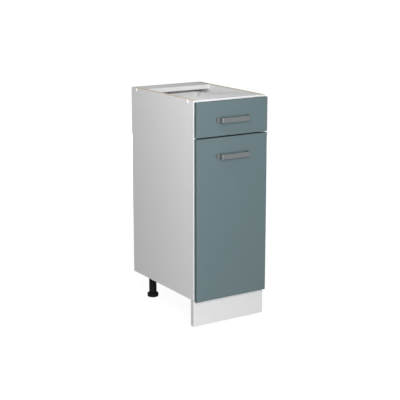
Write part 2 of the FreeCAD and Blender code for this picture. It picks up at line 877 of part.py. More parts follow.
def handle(name, up):
    """A flat strap bent twice at each end, with feet that lie on the front."""
    points = [
        ("-1 * handle_half", "0"),
        ("-1 * handle_half", "-1 * handle_strap"),
        ("-1 * handle_bar_half", "-1 * handle_strap"),
        ("-1 * handle_bar_half", "-1 * handle_reach"),
        ("handle_bar_half", "-1 * handle_reach"),
        ("handle_bar_half", "-1 * handle_strap"),
        ("handle_half", "-1 * handle_strap"),
        ("handle_half", "0"),
        ("handle_bar_half - handle_strap", "0"),
        ("handle_bar_half - handle_strap", "handle_strap - handle_reach"),
        ("handle_strap - handle_bar_half", "handle_strap - handle_reach"),
        ("handle_strap - handle_bar_half", "0"),
    ]
    body = extruded(name + "_strap", "XY_Plane", points, "handle_height",
                    ("0", "fronts_face", f"{up} - handle_height / 2"))
    bar = value("handle_bar_half")
    strap = value("handle_strap")
    reach = value("handle_reach")
    tall = value("handle_height")

    def upright_at(middle, across, along):
        return close(middle.z, tall / 2) and close(abs(middle.x), across) and close(middle.y, along)

    def outer_bend(middle, edge):
        return upright_at(middle, bar, -reach) or upright_at(middle, bar - strap, 0)

    def inner_bend(middle, edge):
        return upright_at(middle, bar, -strap) or upright_at(middle, bar - strap, strap - reach)

    def rim(middle, edge):
        return close(middle.z, 0) or close(middle.z, tall)

    round_edges(body, name + "_outer_bends", "handle_bend", outer_bend)
    round_edges(body, name + "_inner_bends", "handle_inner_bend", inner_bend)
    round_edges(body, name + "_rims", "handle_edge", rim)
    return body


def handle_with_screws(owner, up):
    """A handle and the two screws that hold it from behind; returns the holes for its front."""
    seats = [((f"{sign} * handle_centres / 2", "fronts_back", up), FORWARD) for sign in SIDES.values()]
    holes = pan_screws(f"{owner}_handle_screws", "handle_screw", seats, "front_thickness + handle_screw_bite")
    label(cut(f"{owner}_handle", handle(f"{owner}_handle", up), holes))
    return holes


# Drawer

def drawer_front_fittings():
    """Cam fittings between the drawer sides and the drawer front."""
    bolt_seats = []
    cam_seats = []
    slots = []
    for side, sign in SIDES.items():
        for row in ("low", "high"):
            up = f"drawer_base + drawer_bolt_{row}"
            middle = f"{sign} * drawer_side_middle"
            bolt_seats.append(((middle, "fronts_back", up), ALONG_Y))
            cam_seats.append(((f"{sign} * drawer_inner", "fronts_back + cam_reach", up), (sign, 0, 0)))
            slots.append(box(
                f"drawer_cam_slot_{row}_{side}",
                sorted((f"{middle} - {sign} * (bolt_radius + fit_clearance)",
                        f"{middle} + {sign} * cam_depth"), key=value),
                ("fronts_back + cam_reach - 2 * cam_radius", "fronts_back + cam_reach + cam_slot / 2"),
                (f"{up} - bolt_radius - fit_clearance", f"{up} + bolt_radius + fit_clearance")))
    thread_holes, shaft_holes = cam_bolts("drawer_front_bolts", bolt_seats)
    bores = cam_locks("drawer_front_cams", cam_seats, "drawer_cam_depth", slots)
    return thread_holes, shaft_holes + bores


def drawer_box(runner_holes):
    thread_holes, side_holes = drawer_front_fittings()
    handle_holes = handle_with_screws("drawer", "drawer_handle_z")
    label(cut("drawer_front", front_board("drawer_front_board", "drawer_front_low", "drawer_front_top"),
              thread_holes + handle_holes))
    back_seats = []
    for sign in SIDES.values():
        for row in ("low", "high"):
            start = (f"{sign} * drawer_outer", "drawer_rear - drawer_side / 2",
                     f"drawer_base + back_screw_{row}")
            back_seats.append((start, (-sign, 0, 0)))
    back_holes = flat_screws("drawer_back_screws", "back_screw", back_seats)
    for side, sign in SIDES.items():
        board = box(f"drawer_{side}_board",
                    sorted((f"{sign} * drawer_inner", f"{sign} * drawer_outer"), key=value),
                    ("fronts_back", "drawer_rear"), ("drawer_base", "drawer_top"))
        groove = box(f"drawer_{side}_groove",
                     sorted((f"{sign} * (drawer_inner - tool_overrun)",
                             f"{sign} * (drawer_inner + groove_depth)"), key=value),
                     ("fronts_back - tool_overrun", "drawer_rear + tool_overrun"),
                     ("drawer_panel_low - fit_clearance", "drawer_panel_top + fit_clearance"))
        label(cut(f"drawer_{side}_side", board, [groove] + side_holes + back_holes + runner_holes))
    panel_half = "drawer_inner + groove_depth - fit_clearance"
    label(box("drawer_bottom", (f"-1 * ({panel_half})", panel_half), ("fronts_back", "drawer_rear"),
              ("drawer_panel_low", "drawer_panel_top")))
    back = box("drawer_back_board", ("-1 * drawer_inner", "drawer_inner"),
               ("drawer_rear - drawer_side", "drawer_rear"), ("drawer_panel_top", "drawer_top"))
    label(cut("drawer_back", back, back_holes))


# Door and hinges

def hinge_screws():
    """Screws of both mounting plates and the clamp screws of both arms."""
    screws = []
    plate_holes = []
    arm_holes = []
    for name in HINGES:
        for number, sign in enumerate((-1, 1), start=1):
            start = ("inner_half - hinge_wing", "front_edge + hinge_screw_setback",
                     f"{name}_hinge_z + {sign} * hinge_screw_half")
            screws.append(flat_screw(f"{name}_plate_screw_{number}", "plate_screw", start, ALONG_X))
            plate_holes.append(flat_hole(f"{name}_plate_hole_{number}", "plate_screw", start, ALONG_X))
        start = ("hinge_arm_face", "front_edge + hinge_arm_screw_setback", f"{name}_hinge_z")
        screws.append(pan_screw(f"{name}_arm_screw", "arm_screw", start, ALONG_X, "arm_screw_length"))
        arm_holes.append(pan_hole(f"{name}_arm_hole", "arm_screw", start, ALONG_X, "arm_screw_length"))
    label(group("hinge_screws", screws))
    return plate_holes, arm_holes


def hinge_plate(name, holes):
    up = f"{name}_hinge_z"
    along = ("hinge_plate_front", "hinge_plate_front + hinge_plate_length")
    block = box(f"{name}_plate_block", ("hinge_plate_face", "inner_half"), along,
                (f"{up} - hinge_arm_half", f"{up} + hinge_arm_half"))
    wings = box(f"{name}_plate_wings", ("inner_half - hinge_wing", "inner_half"), along,
                (f"{up} - hinge_wing_half", f"{up} + hinge_wing_half"))
    label(cut(f"{name}_hinge_plate", fuse(f"{name}_plate_body", [block, wings]), holes))


def hinge_arm(name, holes):
    """A tapered arm on the plate, and a bent neck that reaches into the cup to the pin."""
    up = f"{name}_hinge_z"
    arm_profile = [
        ("hinge_plate_face", "-1 * hinge_arm_half"),
        ("hinge_plate_face", "hinge_arm_half"),
        ("hinge_arm_face", "hinge_arm_half - hinge_arm_taper"),
        ("hinge_arm_face", "hinge_arm_taper - hinge_arm_half"),
    ]
    arm = extruded(f"{name}_arm_body", "XZ_Plane", arm_profile, "hinge_arm_length",
                   ("0", "hinge_arm_front", up), reversed_pad=True)
    neck_points = [
        ("hinge_neck_x", "hinge_pin_y - hinge_strap / 2"),
        ("hinge_pin_x", "hinge_pin_y - hinge_strap / 2"),
        ("hinge_pin_x", "hinge_pin_y + hinge_strap / 2"),
        ("hinge_neck_x + hinge_strap", "hinge_pin_y + hinge_strap / 2"),
        ("hinge_neck_x + hinge_strap", "hinge_arm_front + hinge_strap"),
        ("hinge_neck_x", "hinge_arm_front + hinge_strap"),
    ]
    neck = extruded(f"{name}_arm_neck", "XY_Plane", neck_points, "2 * hinge_neck_half",
                    ("0", "0", f"{up} - hinge_neck_half"))
    low = ("hinge_pin_x", "hinge_pin_y", f"{up} - hinge_neck_half")
    knuckle = rod(f"{name}_arm_knuckle", "hinge_knuckle", low, UP, "2 * hinge_neck_half")
    bore = rod(f"{name}_arm_bore", "hinge_pin_radius + fit_clearance", low, UP, "2 * hinge_neck_half")
    label(cut(f"{name}_hinge_arm", fuse(f"{name}_arm_blank", [arm, neck, knuckle]), [bore] + holes))


def hinge_cup(name, holes):
    """A pressed cup with a flange on the door, and lugs inside that hold the pin."""
    up = f"{name}_hinge_z"
    mouth = ("cup_x", "fronts_back", up)
    shell = rod(f"{name}_cup_shell", "hinge_cup_radius", mouth, FORWARD, "hinge_cup_depth")
    flange = box(f"{name}_cup_flange", ("cup_x - hinge_flange_back", "cup_x + hinge_flange_edge"),
                 ("fronts_back", "fronts_back + hinge_flange"),
                 (f"{up} - hinge_flange_half", f"{up} + hinge_flange_half"))
    hollow = rod(f"{name}_cup_hollow", "hinge_cup_radius - hinge_cup_wall",
                 ("cup_x", "fronts_back + hinge_flange", up), FORWARD,
                 "hinge_cup_depth + hinge_flange - hinge_cup_wall")
    pressed = cut(f"{name}_cup_pressing", fuse(f"{name}_cup_blank", [shell, flange]), [hollow])
    lugs = []
    for number, sign in enumerate((-1, 1), start=1):
        span = sorted((f"{up} + {sign} * hinge_lug_start",
                       f"{up} + {sign} * (hinge_pin_half + hinge_cup_wall)"), key=value)
        block = box(f"{name}_lug_block_{number}",
                    ("hinge_pin_x - hinge_lug_half", "cup_x + hinge_cup_radius"),
                    ("cup_floor", "hinge_pin_y + hinge_lug_half"), span)
        limit = rod(f"{name}_lug_limit_{number}", "hinge_cup_radius - hinge_cup_wall / 2", mouth, FORWARD,
                    "hinge_cup_depth")
        lugs.append(common(f"{name}_lug_{number}", block, limit))
    pin_bore = rod(f"{name}_pin_bore", "hinge_pin_radius + fit_clearance",
                   ("hinge_pin_x", "hinge_pin_y", f"{up} - hinge_pin_half"), UP, "2 * hinge_pin_half")
    label(cut(f"{name}_hinge_cup", fuse(f"{name}_cup_body", [pressed] + lugs), [pin_bore] + holes))


def hinge_cup_screw_seats():
    return [(("cup_x - hinge_cup_screw_offset", "fronts_back + hinge_flange",
              f"{name}_hinge_z + {sign} * hinge_cup_screw_half"), FORWARD)
            for name in HINGES for sign in (-1, 1)]


def hinge_pins():
    pins = [rod(f"hinge_pin_{name}", "hinge_pin_radius",
                ("hinge_pin_x", "hinge_pin_y", f"{name}_hinge_z - hinge_pin_half"), UP, "2 * hinge_pin_half")
            for name in HINGES]
    label(group("hinge_pins", pins))


def door():
    cup_holes = flat_screws("hinge_cup_screws", "cup_screw", hinge_cup_screw_seats())
    handle_holes = handle_with_screws("door", "door_handle_z")
    cup_bores = [rod(f"{name}_door_bore", "hinge_cup_radius + fit_clearance",
                     ("cup_x", "fronts_back", f"{name}_hinge_z"), FORWARD, "hinge_cup_depth + fit_clearance")
                 for name in HINGES]
    label(cut("door_panel", front_board("door_board", "door_low", "door_top"),
              cup_holes + handle_holes + cup_bores))
    for name in HINGES:
        hinge_cup(name, cup_holes)
    hinge_pins()
    bumpers = [rod(f"door_bumper_{number}", "bumper_radius", ("board / 2 - half_width", "fronts_back", up),
                   ALONG_Y, "bumper_thickness")
               for number, up in enumerate(("door_low + bumper_inset", "door_top - bumper_inset"), start=1)]
    label(group("door_bumpers", bumpers))


# Legs and plinth

def legs():
    """Four legs: a socket under the bottom panel, a tube pushed into it and a foot that screws in the tube."""
    socket_profile = [
        ("0", "0"),
        ("socket_radius", "0"),
        ("socket_radius", "socket_flange"),
        ("socket_collar", "socket_flange"),
        ("socket_collar", "socket_flange + socket_depth"),
        ("leg_tube_radius + fit_clearance", "socket_flange + socket_depth"),
        ("leg_tube_radius + fit_clearance", "socket_flange"),
        ("0", "socket_flange"),
    ]
    tube_profile = [
        ("stem_radius + fit_clearance", "foot_height + running_gap"),
        ("leg_tube_radius", "foot_height + running_gap"),
        ("leg_tube_radius", "socket_low"),
        ("stem_radius + fit_clearance", "socket_low"),
    ]
    foot_profile = [
        ("0", "0"),
        ("foot_radius - foot_bevel", "0"),
        ("foot_radius", "foot_bevel"),
        ("foot_radius", "foot_rim"),
        ("foot_neck", "foot_height - foot_bevel"),
        ("foot_neck", "foot_height"),
        ("stem_radius", "foot_height"),
        ("stem_radius", "foot_height + stem_length"),
        ("0", "foot_height + stem_length"),
    ]
    sockets = []
    seats = []
    for name, (across, along) in LEGS.items():
        sockets.append(turned(f"{name}_socket", socket_profile, (across, along, "leg_height"), DOWN))
        for right in (-1, 1):
            for back in (-1, 1):
                seats.append(((f"{across} + {right} * socket_screw_half",
                               f"{along} + {back} * socket_screw_half", "socket_low"), UP))
        label(turned(f"{name}_leg_tube", tube_profile, (across, along, "0"), UP))
        label(turned(f"{name}_foot", foot_profile, (across, along, "0"), UP))
    holes = flat_screws("leg_socket_screws", "socket_screw", seats)
    drilled = [cut(f"{socket.Name}_drilled", socket, holes[4 * number:4 * number + 4])
               for number, socket in enumerate(sockets)]
    label(group("leg_sockets", drilled))
    return holes


def plinth_clips():
    """Clips screwed to the plinth that snap round the front legs."""
    seats = []
    clips = []
    up = ("clip_low", "clip_low + clip_height")
    for name in ("front_left", "front_right"):
        across, along = LEGS[name]
        for number, sign in enumerate((-1, 1), start=1):
            seats.append(((f"{across} + {sign} * clip_screw_offset", "plinth_back + clip_plate",
                           "clip_low + clip_height / 2"), FORWARD))
        plate = box(f"{name}_clip_plate", (f"{across} - clip_plate_half", f"{across} + clip_plate_half"),
                    ("plinth_back", "plinth_back + clip_plate"), up)
        neck = box(f"{name}_clip_neck", (f"{across} - clip_neck_half", f"{across} + clip_neck_half"),
                   ("plinth_back", f"{along} - leg_tube_radius"), up)
        low = (across, along, "clip_low")
        ring = rod(f"{name}_clip_ring", "leg_tube_radius + fit_clearance + clip_ring", low, UP, "clip_height")
        hollow = rod(f"{name}_clip_hollow", "leg_tube_radius + fit_clearance", low, UP, "clip_height")
        mouth = box(f"{name}_clip_mouth",
                    (f"{across} - 2 * leg_tube_radius", f"{across} + 2 * leg_tube_radius"),
                    (f"{along} + clip_mouth", f"{along} + 2 * leg_tube_radius"), up)
        snap = cut(f"{name}_clip_snap", fuse(f"{name}_clip_blank", [plate, neck, ring]), [hollow])
        clips.append(cut(f"{name}_clip_open", snap, [mouth]))
    holes = flat_screws("plinth_clip_screws", "clip_screw", seats)
    drilled = [cut(f"{clip.Name}_drilled", clip, holes[2 * number:2 * number + 2])
               for number, clip in enumerate(clips)]
    label(group("plinth_clips", drilled))
    return holes


def plinth():
    holes = plinth_clips()
    corners = [
        ("-1 * half_width", "front_edge"),
        ("half_width", "front_edge"),
        ("half_width", "plinth_back"),
        ("-1 * half_width", "plinth_back"),
    ]
    body = extruded("plinth_board", "XY_Plane", corners, "plinth_top - plinth_gap", ("0", "0", "plinth_gap"))
    half_height = value("plinth_top - plinth_gap") / 2
    front = value("front_edge")
    back = value("plinth_back")

    def front_corner(middle, edge):
        return close(middle.z, half_height) and close(middle.y, front)

    def back_corner(middle, edge):
        return close(middle.z, half_height) and close(middle.y, back)

    round_edges(body, "plinth_front_corners", "plinth_round", front_corner)
    round_edges(body, "plinth_back_corners", "plinth_back_round", back_corner)
    label(cut("plinth", body, holes))


def build():
    rail_holes = rail_fixings()
    dowel_holes = dowels()
    bolt_threads, bolt_shafts, cam_bores = base_cams()
    cabinet_runner_holes = cabinet_runners()
    plate_holes, arm_holes = hinge_screws()
    nail_holes = back_panel()
    socket_holes = legs()
    side_panels(rail_holes + dowel_holes + bolt_threads + nail_holes, plate_holes, cabinet_runner_holes)
    bottom_panel(dowel_holes + bolt_shafts + cam_bores + socket_holes + nail_holes)
    top_rails(rail_holes + dowel_holes + nail_holes)
    shelf_pins()
    shelf()
    drawer_box(drawer_runners())
    rollers()
    for name, arm_hole in zip(HINGES, arm_holes):
        hinge_plate(name, plate_holes + [arm_hole])
        hinge_arm(name, [arm_hole])
    door()
    plinth()


def check():
    """Stop before anything is written if a step failed or a sub-part has no sound solid."""
    faults = [item.Name for item in doc.Objects if {"Invalid", "Error"} & set(item.State)]
    for piece in subparts:
        if piece.Shape.isNull() or not piece.Shape.isValid() or not piece.Shape.Solids:
            faults.append(piece.Label)
    if faults:
        raise RuntimeError("failed: " + ", ".join(faults))


def write():
    os.makedirs("parts", exist_ok=True)
    for piece in subparts:
        piece.Shape.exportStep(f"parts/{piece.Label}.step")
    print(len(subparts), "sub-parts,", sum(len(piece.Shape.Solids) for piece in subparts), "solids")


sheet = make_sheets()
build()
doc.recompute()
check()
write()
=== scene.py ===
import json
import math

import bmesh
import bpy
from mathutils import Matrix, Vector


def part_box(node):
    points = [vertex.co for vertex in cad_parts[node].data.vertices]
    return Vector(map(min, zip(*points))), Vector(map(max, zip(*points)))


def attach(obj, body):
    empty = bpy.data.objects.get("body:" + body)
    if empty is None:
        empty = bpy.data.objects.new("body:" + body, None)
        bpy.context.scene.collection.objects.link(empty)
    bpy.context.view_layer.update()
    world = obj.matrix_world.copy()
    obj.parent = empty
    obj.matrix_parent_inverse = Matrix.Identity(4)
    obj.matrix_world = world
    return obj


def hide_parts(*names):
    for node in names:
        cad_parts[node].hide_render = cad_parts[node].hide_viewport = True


# Kitchen base cabinet: finishes, fine detail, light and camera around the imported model, in metres.

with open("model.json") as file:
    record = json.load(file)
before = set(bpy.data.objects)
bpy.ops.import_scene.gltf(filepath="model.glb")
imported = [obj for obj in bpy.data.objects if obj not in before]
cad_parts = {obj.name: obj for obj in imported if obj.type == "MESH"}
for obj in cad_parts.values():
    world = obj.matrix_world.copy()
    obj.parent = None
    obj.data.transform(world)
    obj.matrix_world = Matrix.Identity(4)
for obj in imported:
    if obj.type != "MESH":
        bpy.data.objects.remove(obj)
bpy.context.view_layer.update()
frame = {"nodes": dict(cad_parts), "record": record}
nodes = frame["nodes"]
bodies = frame["record"]["behaviour"]["bodies"]

BODY_OF = {node: body for body, members in bodies.items() for node in members}
SLOT_OF = {row["node"]: row["material_slot"] for row in frame["record"]["subparts"]}


# Tones of the finishes, from dark to light, as linear light

WHITE_TONES = ((0.815, 0.817, 0.822), (0.845, 0.845, 0.845))
FILM_TONES = ((0.752, 0.754, 0.758), (0.780, 0.780, 0.780))
TEAL_TONES = ((0.139, 0.192, 0.205), (0.147, 0.201, 0.214))
# Painted shade: the fronts' edges are darker than their face, standing in for the shade in the gaps
# between the fronts
EDGE_SHADE_TONES = ((0.111, 0.154, 0.164), (0.118, 0.161, 0.171))
CHIP_TONES = ((0.54, 0.41, 0.27), (0.71, 0.59, 0.43), (0.82, 0.73, 0.57), (0.91, 0.85, 0.71))
HARDBOARD_TONES = ((0.20, 0.125, 0.07), (0.27, 0.175, 0.10), (0.33, 0.225, 0.14))
BEECH_TONES = ((0.40, 0.26, 0.14), (0.52, 0.36, 0.21), (0.60, 0.44, 0.28))
NICKEL_TONES = ((0.138, 0.151, 0.152), (0.182, 0.197, 0.198))

# Cells of each pattern to the metre, on X, Y and Z where they differ

WHITE_CLOUDS = 7.0
MELAMINE_GLOSS = 40.0
MELAMINE_PEARL = 1100.0
CHIP_FLAKES = (420.0, 260.0, 520.0)
CHIP_PORES = (700.0, 450.0, 900.0)
LACQUER_CLOUDS = 9.0
LACQUER_GLOSS = 60.0
LACQUER_GRAIN = 600.0
HARDBOARD_FIBRE = 300.0
BEECH_RINGS = (40.0, 900.0, 900.0)
BRUSH_LINES = (12.0, 12.0, 1500.0)

# Cells of a fine pattern for each cell of the clouds under it

PLATED_GRAIN_SHARE = 4.0
MOULDED_GRAIN_SHARE = 30.0

# Octaves of the noise

PLAIN = 2.0
GRAINY = 3.0
STREAKY = 4.0
FIBROUS = 5.0

# Roughness at the smoothest and the roughest spots, or its spread to either side

MELAMINE_ROUGH = (0.66, 0.76)
CHIP_ROUGH = (0.75, 0.95)
LACQUER_ROUGH = (0.64, 0.74)
HARDBOARD_ROUGH = (0.50, 0.75)
BEECH_ROUGH = (0.55, 0.75)
NICKEL_ROUGH = (0.44, 0.56)
PLATED_SPREAD = 0.07
MOULDED_SPREAD = 0.05

# Depths of the surface relief

FINE_RELIEF = 0.0002
BOARD_RELIEF = 0.0003
METAL_RELIEF = 0.00008
RELIEF_STRENGTH = 0.3

# Numbers that are the same all over a surface

MELAMINE_SPECULAR = 0.1
LACQUER_SPECULAR = 0.04
NICKEL_METALLIC = 0.68
NICKEL_ANISOTROPIC = 0.4

# Noise seldom leaves this part of its range from 0 to 1
NOISE_LOW = 0.25
NOISE_HIGH = 0.75

# A surface faces along an axis when its normal has more than this share there
BOARD_FACING = 0.5
FRONT_FACING = 0.7

# The sides have a white edge at their front only, other boards on every edge that faces forward
FRONT_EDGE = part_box("left_side_panel")[0].y
EDGE_BAND = 0.0005
BEHIND_ALL = 1.0


# Finishes

class Finish:
    """One material: its principled shader and short calls that put texture nodes in front of it."""

    def __init__(self, name, **constants):
        self.material = bpy.data.materials.new(name)
        self.material.use_nodes = True
        self.nodes = self.material.node_tree.nodes
        self.links = self.material.node_tree.links
        self.shader = self.nodes["Principled BSDF"]
        self.where = self.nodes.new("ShaderNodeTexCoord").outputs
        for socket, number in constants.items():
            self.shader.inputs[socket.replace("_", " ")].default_value = number

    def drive(self, socket, source):
        self.links.new(source, self.shader.inputs[socket])

    def math(self, operation, first, second=0.0):
        node = self.nodes.new("ShaderNodeMath")
        node.operation = operation
        for socket, source in zip(node.inputs, (first, second)):
            if isinstance(source, float):
                socket.default_value = source
            else:
                self.links.new(source, socket)
        return node.outputs["Value"]

    def stretch(self, cells):
        """Object coordinates with so many cells to the metre on each axis."""
        node = self.nodes.new("ShaderNodeMapping")
        node.inputs["Scale"].default_value = cells
        self.links.new(self.where["Object"], node.inputs["Vector"])
        return node.outputs["Vector"]

    def noise(self, cells, octaves=PLAIN):
        node = self.nodes.new("ShaderNodeTexNoise")
        node.inputs["Scale"].default_value = 1.0
        node.inputs["Detail"].default_value = octaves
        self.links.new(self.stretch(cells), node.inputs["Vector"])
        return node.outputs[0]

    def chips(self, cells):
        """A random shade for each cell of a cellular pattern."""
        node = self.nodes.new("ShaderNodeTexVoronoi")
        node.inputs["Scale"].default_value = 1.0
        self.links.new(self.stretch(cells), node.inputs["Vector"])
        split = self.nodes.new("ShaderNodeSeparateColor")
        self.links.new(node.outputs["Color"], split.inputs["Color"])
        return split.outputs["Red"]

    def ramp(self, factor, tones):
        """Tones spread evenly over the factor's range."""
        node = self.nodes.new("ShaderNodeValToRGB")
        stops = node.color_ramp.elements
        while len(stops) < len(tones):
            stops.new(1.0)
        for number, tone in enumerate(tones):
            stops[number].position = number / (len(tones) - 1)
            stops[number].color = (*tone, 1.0)
        self.links.new(factor, node.inputs["Fac"])
        return node.outputs["Color"]

    def span(self, factor, low, high):
        """A number between low and high, as the factor goes through the usual range of noise."""
        node = self.nodes.new("ShaderNodeMapRange")
        node.inputs["From Min"].default_value = NOISE_LOW
        node.inputs["From Max"].default_value = NOISE_HIGH
        node.inputs["To Min"].default_value = low
        node.inputs["To Max"].default_value = high
        self.links.new(factor, node.inputs["Value"])
        return node.outputs["Result"]

    def choose(self, mask, off, on, kind="RGBA"):
        node = self.nodes.new("ShaderNodeMix")
        node.data_type = kind
        sockets = [socket for socket in node.inputs if socket.enabled]
        for socket, source in zip(sockets, (mask, off, on)):
            self.links.new(source, socket)
        return next(socket for socket in node.outputs if socket.enabled)

    def split(self, vector):
        node = self.nodes.new("ShaderNodeSeparateXYZ")
        self.links.new(vector, node.inputs["Vector"])
        return node.outputs

    def facing(self):
        """How far the surface faces along the object's own X, Y and Z."""
        return self.split(self.where["Normal"])

    def place(self):
        return self.split(self.where["Object"])

    def bump(self, height, depth):
        node = self.nodes.new("ShaderNodeBump")
        node.inputs["Distance"].default_value = depth
        node.inputs["Strength"].default_value = RELIEF_STRENGTH
        self.links.new(height, node.inputs["Height"])
        self.drive("Normal", node.outputs["Normal"])


def even(cells):
    return (cells, cells, cells)


def clouded(finish, tones):
    return finish.ramp(finish.noise(even(WHITE_CLOUDS)), tones)


def pearl(finish):
    """The fine even grain of pressed melamine."""
    return finish.noise(even(MELAMINE_PEARL), GRAINY)


def melamine_rough(finish):
    return finish.span(finish.noise(even(MELAMINE_GLOSS)), *MELAMINE_ROUGH)


def melamine(name, tones):
    finish = Finish(name, Specular_IOR_Level=MELAMINE_SPECULAR)
    finish.drive("Base Color", clouded(finish, tones))
    finish.drive("Roughness", melamine_rough(finish))
    finish.bump(pearl(finish), FINE_RELIEF)
    return finish.material


def edged_board(name, face_axis, edge_limit):
    """Melamine faces, a white front edge and raw chipboard on the other edges."""
    finish = Finish(name, Specular_IOR_Level=MELAMINE_SPECULAR)
    facing = finish.facing()
    face = finish.math("GREATER_THAN", finish.math("ABSOLUTE", facing[face_axis]), BOARD_FACING)
    forward = finish.math("LESS_THAN", facing["Y"], -BOARD_FACING)
    at_front = finish.math("LESS_THAN", finish.place()["Y"], edge_limit)
    white = finish.math("MAXIMUM", face, finish.math("MULTIPLY", forward, at_front))
    flakes = finish.ramp(finish.chips(CHIP_FLAKES), CHIP_TONES)
    finish.drive("Base Color", finish.choose(white, flakes, clouded(finish, WHITE_TONES)))
    pores = finish.chips(CHIP_PORES)
    raw_rough = finish.span(pores, *CHIP_ROUGH)
    finish.drive("Roughness", finish.choose(white, raw_rough, melamine_rough(finish), "FLOAT"))
    finish.bump(finish.choose(white, pores, pearl(finish), "FLOAT"), BOARD_RELIEF)
    return finish.material


def teal_front():
    """Satin lacquer on the face, edges painted darker as shade in the gaps between the fronts, and white
    on the back.
    """
    finish = Finish("teal_front", Specular_IOR_Level=LACQUER_SPECULAR)
    facing = finish.facing()["Y"]
    back = finish.math("GREATER_THAN", facing, FRONT_FACING)
    face = finish.math("LESS_THAN", facing, -FRONT_FACING)
    clouds = finish.noise(even(LACQUER_CLOUDS))
    # Edges take the darker tone as painted shade, the face keeps the teal
    outside = finish.choose(face, finish.ramp(clouds, EDGE_SHADE_TONES), finish.ramp(clouds, TEAL_TONES))
    finish.drive("Base Color", finish.choose(back, outside, clouded(finish, WHITE_TONES)))
    finish.drive("Roughness", finish.span(finish.noise(even(LACQUER_GLOSS)), *LACQUER_ROUGH))
    finish.bump(finish.noise(even(LACQUER_GRAIN), GRAINY), FINE_RELIEF)
    return finish.material


def hardboard(name, raw_axis, raw_sign):
    """Thin board with one white face; the other face and the edges are raw."""
    finish = Finish(name)
    facing = finish.math("MULTIPLY", finish.facing()[raw_axis], raw_sign)
    white = finish.math("LESS_THAN", facing, -BOARD_FACING)
    fibre = finish.noise(even(HARDBOARD_FIBRE), FIBROUS)
    raw = finish.ramp(fibre, HARDBOARD_TONES)
    finish.drive("Base Color", finish.choose(white, raw, clouded(finish, WHITE_TONES)))
    finish.drive("Roughness", finish.span(fibre, *HARDBOARD_ROUGH))
    finish.bump(finish.choose(white, fibre, pearl(finish), "FLOAT"), BOARD_RELIEF)
    return finish.material


def beech():
    finish = Finish("beech")
    rings = finish.noise(BEECH_RINGS, STREAKY)
    finish.drive("Base Color", finish.ramp(rings, BEECH_TONES))
    finish.drive("Roughness", finish.span(rings, *BEECH_ROUGH))
    finish.bump(rings, FINE_RELIEF)
    return finish.material


def brushed_nickel():
    """Metal brushed along X and Y, with fine lines across."""
    finish = Finish("brushed_nickel", Metallic=NICKEL_METALLIC, Anisotropic=NICKEL_ANISOTROPIC)
    lines = finish.noise(BRUSH_LINES, STREAKY)
    finish.drive("Base Color", finish.ramp(lines, NICKEL_TONES))
    finish.drive("Roughness", finish.span(lines, *NICKEL_ROUGH))
    finish.bump(lines, METAL_RELIEF)
    return finish.material


def plated(name, tones, rough, cells):
    """Plated or cast metal with faint clouding."""
    finish = Finish(name, Metallic=1.0)
    clouds = finish.noise(even(cells), STREAKY)
    finish.drive("Base Color", finish.ramp(clouds, tones))
    finish.drive("Roughness", finish.span(clouds, rough - PLATED_SPREAD, rough + PLATED_SPREAD))
    finish.bump(finish.noise(even(PLATED_GRAIN_SHARE * cells)), METAL_RELIEF)
    return finish.material


def moulded(name, tones, rough, cells, relief, **constants):
    """Plastic, paint or rubber with a fine surface grain."""
    finish = Finish(name, **constants)
    clouds = finish.noise(even(cells / MOULDED_GRAIN_SHARE))
    finish.drive("Base Color", finish.ramp(clouds, tones))
    finish.drive("Roughness", finish.span(clouds, rough - MOULDED_SPREAD, rough + MOULDED_SPREAD))
    finish.bump(finish.noise(even(cells), GRAINY), relief)
    return finish.material


PLATED = {
    "zinc_steel": dict(tones=((0.56, 0.57, 0.60), (0.66, 0.66, 0.66)), rough=0.30, cells=250.0),
    "cast_zinc": dict(tones=((0.42, 0.42, 0.43), (0.52, 0.52, 0.52)), rough=0.48, cells=500.0),
    "nickel_hinge": dict(tones=((0.60, 0.585, 0.56), (0.68, 0.665, 0.64)), rough=0.24, cells=120.0),
}

MOULDED = {
    "white_coated_steel": dict(
        tones=((0.76, 0.76, 0.755), (0.80, 0.80, 0.795)), rough=0.38, cells=700.0, relief=0.0002),
    "roller_plastic": dict(
        tones=((0.66, 0.66, 0.64), (0.72, 0.72, 0.70)), rough=0.42, cells=600.0, relief=0.0001),
    "white_plastic": dict(
        tones=((0.85, 0.85, 0.845), (0.88, 0.88, 0.875)), rough=0.48, cells=500.0, relief=0.0001,
        Specular_IOR_Level=0.25),
    "black_plastic": dict(
        tones=((0.004, 0.004, 0.0042), (0.007, 0.007, 0.0073)), rough=0.66, cells=1400.0, relief=0.0003,
        Specular_IOR_Level=0.1),
    "clear_bumper": dict(
        tones=((0.80, 0.80, 0.79), (0.86, 0.86, 0.85)), rough=0.30, cells=300.0, relief=0.0001,
        Transmission_Weight=0.6, IOR=1.42),
}

# Nodes whose finish is a special kind of their material slot
OWN_FINISH = {
    "left_side_panel": "side_board",
    "right_side_panel": "side_board",
    "bottom_panel": "flat_board",
    "front_top_rail": "flat_board",
    "rear_top_rail": "flat_board",
    "shelf": "flat_board",
    "back_panel": "back_hardboard",
    "drawer_bottom": "drawer_hardboard",
    "plinth": "plinth_film",
}


def make_finishes():
    finishes = {
        "side_board": edged_board("side_board", "X", FRONT_EDGE + EDGE_BAND),
        "flat_board": edged_board("flat_board", "Z", BEHIND_ALL),
        "white_melamine": melamine("white_melamine", WHITE_TONES),
        "plinth_film": melamine("plinth_film", FILM_TONES),
        "back_hardboard": hardboard("back_hardboard", "Y", 1.0),
        "drawer_hardboard": hardboard("drawer_hardboard", "Z", -1.0),
        "teal_front": teal_front(),
        "brushed_nickel": brushed_nickel(),
        "beech": beech(),
    }
    for name, look in PLATED.items():
        finishes[name] = plated(name, **look)
    for name, look in MOULDED.items():
        finishes[name] = moulded(name, **look)
    return finishes


def dress():
    """Give every node of the frame its finish."""
    finishes = make_finishes()
    for node, slot in SLOT_OF.items():
        mesh = nodes[node].data
        mesh.materials.clear()
        mesh.materials.append(finishes[OWN_FINISH.get(node, slot)])


dress()


# Cross recesses in the screw heads and cams

WELD = 1e-6
SMOOTH_ANGLE = math.radians(35.0)

